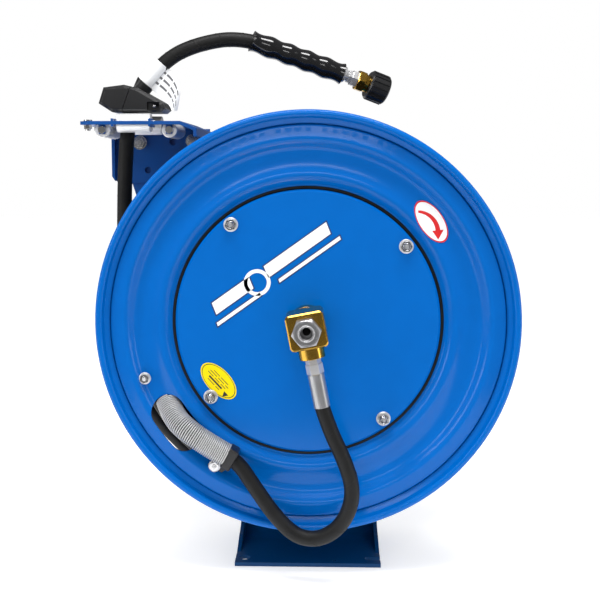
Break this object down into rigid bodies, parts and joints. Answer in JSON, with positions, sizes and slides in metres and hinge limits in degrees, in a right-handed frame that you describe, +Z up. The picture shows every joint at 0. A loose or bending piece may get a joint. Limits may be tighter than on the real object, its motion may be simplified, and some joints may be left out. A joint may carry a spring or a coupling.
{
  "type": "retractable hose reel",
  "caption": "Spring-rewind hose reel with pressed steel discs on a single bent-plate pedestal, roller hose guide, inlet swivel and a high-pressure hose with a screw coupling.",
  "frame": {"origin": "on the underside of the foot, below the reel's axis and under the middle of the drum's width", "axes": "+Z up, +Y along the reel's axis from the inlet side to the pedestal's web, +X to the right seen from the inlet side"},
  "size_m": [0.5056, 0.251, 0.6343],
  "materials": {
    "navy_paint": "semi-gloss powder coat, darker blue",
    "bracket_paint": "semi-gloss powder coat, deep blue",
    "blue_paint": "gloss powder coat",
    "zinc_steel": "zinc plated",
    "roller_steel": "smooth, lightly worn",
    "spring_steel": "blued, oiled",
    "guard_wire": "bright drawn wire",
    "ferrule_steel": "plated, crimped",
    "bronze": "plain bearing bronze",
    "brass": "machined",
    "hose_rubber": "wrapped, faint ribs",
    "black_plastic": "moulded",
    "grip_plastic": "moulded, glossy",
    "tag_film": "thin white film"
  },
  "bodies": {
    "frame": {"pedestal": "navy_paint", "axle": "zinc_steel", "axle_clip": "zinc_steel", "axle_washer": "zinc_steel", "axle_nut": "zinc_steel", "guide_arm": "bracket_paint", "arm_bolts": "zinc_steel", "roller_bracket": "bracket_paint", "bracket_bolts": "zinc_steel", "plate_bolts": "zinc_steel", "roller_pins": "zinc_steel", "pawl_pin": "zinc_steel", "pawl_spring": "zinc_steel", "outlet_hose": "hose_rubber", "hose_stop_left": "black_plastic", "hose_stop_right": "black_plastic", "stop_screws": "zinc_steel", "hose_tag": "tag_film", "hose_grip": "grip_plastic", "outlet_ferrule": "zinc_steel", "outlet_adapter": "brass"},
    "spool": {"front_disc": "blue_paint", "rear_disc": "blue_paint", "drum_shell": "blue_paint", "centre_plate": "blue_paint", "front_studs": "zinc_steel", "rear_bolts": "zinc_steel", "hub_tube": "zinc_steel", "front_bush": "bronze", "middle_bush": "bronze", "rear_bush": "bronze", "spring_case": "blue_paint", "spring_cover": "blue_paint", "mainspring": "spring_steel", "ratchet_wheel": "zinc_steel", "wound_hose": "hose_rubber", "swivel_hub": "brass", "swivel_block": "brass", "outlet_nipple": "zinc_steel", "outlet_nut": "zinc_steel", "jumper_ferrule": "ferrule_steel", "jumper_hose": "hose_rubber", "hose_clamp": "black_plastic", "disc_bolts": "zinc_steel", "spring_guard": "guard_wire"},
    "inlet": {"inlet_fitting": "ferrule_steel"},
    "pawl": {"pawl": "zinc_steel"},
    "front_roller": {"front_roller": "roller_steel"},
    "rear_roller": {"rear_roller": "roller_steel"},
    "left_roller": {"left_roller": "roller_steel"},
    "right_roller": {"right_roller": "roller_steel"},
    "coupling": {"coupling_knob": "black_plastic"}
  },
  "joints": [
    {"name": "spool_spin", "type": "hinge", "parent": "frame", "child": "spool", "pos_m": [0, 0, 0.296], "axis": [0, 1, 0], "range_deg": [0, 4410], "stiffness_Nm_per_rad": 0.06, "springref_deg": -3437.75},
    {"name": "inlet_swivel", "type": "hinge", "parent": "spool", "child": "inlet", "pos_m": [0, -0.1, 0.296], "axis": [0, 1, 0], "continuous": true},
    {"name": "pawl_tilt", "type": "hinge", "parent": "frame", "child": "pawl", "pos_m": [0, 0.083, 0.195], "axis": [0, 1, 0], "range_deg": [0, 40], "stiffness_Nm_per_rad": 0.02},
    {"name": "front_roller_spin", "type": "hinge", "parent": "frame", "child": "front_roller", "pos_m": [-0.20275, -0.022, 0.5255], "axis": [1, 0, 0], "continuous": true},
    {"name": "rear_roller_spin", "type": "hinge", "parent": "frame", "child": "rear_roller", "pos_m": [-0.1985, 0.022, 0.524], "axis": [1, 0, 0], "continuous": true},
    {"name": "left_roller_spin", "type": "hinge", "parent": "frame", "child": "left_roller", "pos_m": [-0.2377, 0, 0.517], "axis": [0, 1, 0], "continuous": true},
    {"name": "right_roller_spin", "type": "hinge", "parent": "frame", "child": "right_roller", "pos_m": [-0.16, 0, 0.517], "axis": [0, 1, 0], "continuous": true},
    {"name": "coupling_spin", "type": "hinge", "parent": "frame", "child": "coupling", "pos_m": [0.0827, 0.04339, 0.57065], "axis": [0.9103, 0.2427, -0.3354], "continuous": true}
  ]
}
